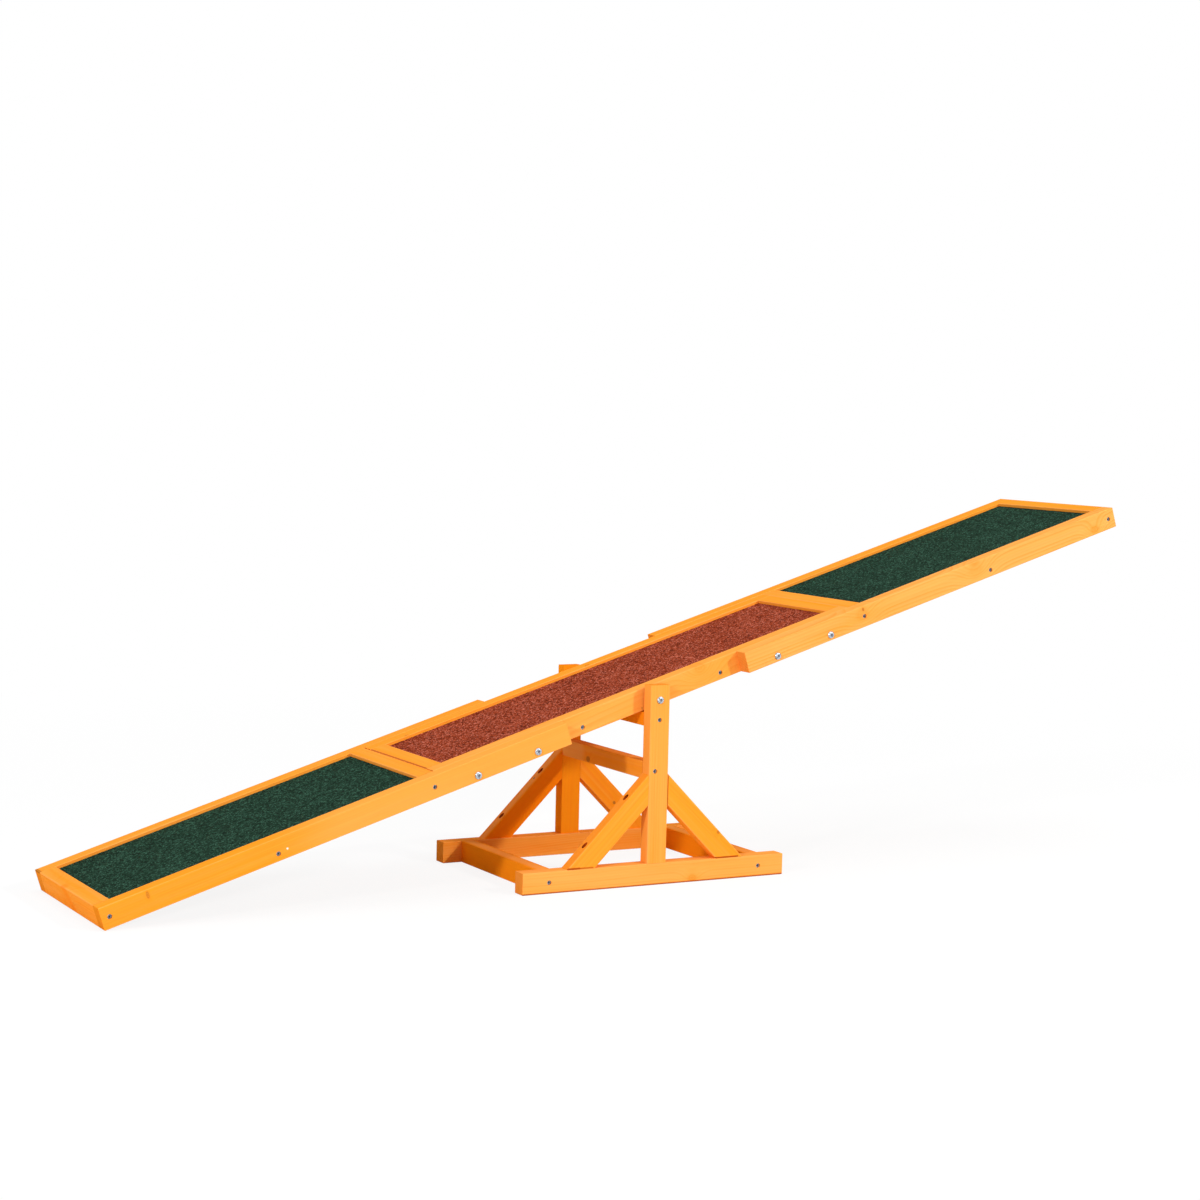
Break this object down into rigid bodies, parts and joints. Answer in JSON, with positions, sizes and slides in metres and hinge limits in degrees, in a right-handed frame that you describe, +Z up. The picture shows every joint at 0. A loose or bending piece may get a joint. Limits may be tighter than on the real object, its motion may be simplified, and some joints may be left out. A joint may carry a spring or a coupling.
{
  "type": "dog agility seesaw",
  "caption": "Dog agility seesaw: a long jointed timber plank with green and red grit decks that tips on bolts between the posts of a small braced base.",
  "frame": {"origin": "floor level, under the middle of the overall box; the pivot axis stands 1.1 mm towards +X of it", "axes": "+X along the plank towards the raised end, +Y across it, away from the pictured side, +Z up"},
  "size_m": [1.7246, 0.3038, 0.5667],
  "materials": {
    "timber": "golden orange stain, satin",
    "hidden_timber": "thin orange stain, matte",
    "plywood": "plain plywood, matte",
    "green_grit": "mineral grit sheet, rough",
    "red_grit": "mineral grit sheet, rough",
    "bolt_zinc": "bright zinc plate",
    "screw_zinc": "zinc plate",
    "nylon": "natural nylon"
  },
  "bodies": {
    "base": {"base_rail_near": "timber", "base_rail_far": "timber", "cross_rail_low": "timber", "cross_rail_high": "timber", "post_near": "timber", "post_far": "timber", "brace_near_low": "timber", "brace_near_high": "timber", "brace_far_low": "timber", "brace_far_high": "timber", "lower_crossbar": "timber", "upper_crossbar": "timber", "pivot_bolts": "bolt_zinc", "pivot_spacers": "nylon", "pivot_washers": "bolt_zinc", "pivot_nuts": "bolt_zinc", "base_screws": "screw_zinc", "post_screws": "screw_zinc", "brace_screws": "screw_zinc", "crossbar_screws": "screw_zinc"},
    "plank": {"low_rail_near": "timber", "low_rail_far": "timber", "low_end_board": "timber", "low_joint_board": "timber", "low_batten": "hidden_timber", "low_ledgers": "hidden_timber", "low_deck": "plywood", "low_grit": "green_grit", "mid_rail_near": "timber", "mid_rail_far": "timber", "mid_board_low": "timber", "mid_board_high": "timber", "mid_batten_low": "hidden_timber", "mid_batten_high": "hidden_timber", "mid_ledgers": "hidden_timber", "mid_deck": "plywood", "mid_grit": "red_grit", "high_rail_near": "timber", "high_rail_far": "timber", "high_end_board": "timber", "high_joint_board": "timber", "high_batten": "hidden_timber", "high_ledgers": "hidden_timber", "high_deck": "plywood", "high_grit": "green_grit", "joint_bolts": "bolt_zinc", "joint_washers": "bolt_zinc", "joint_nuts": "bolt_zinc", "plank_screws": "screw_zinc"}
  },
  "joints": [
    {"name": "plank_pivot", "type": "hinge", "parent": "base", "child": "plank", "pos_m": [0.00113, 0, 0.28], "axis": [0, 1, 0], "range_deg": [0, 34.65]}
  ]
}
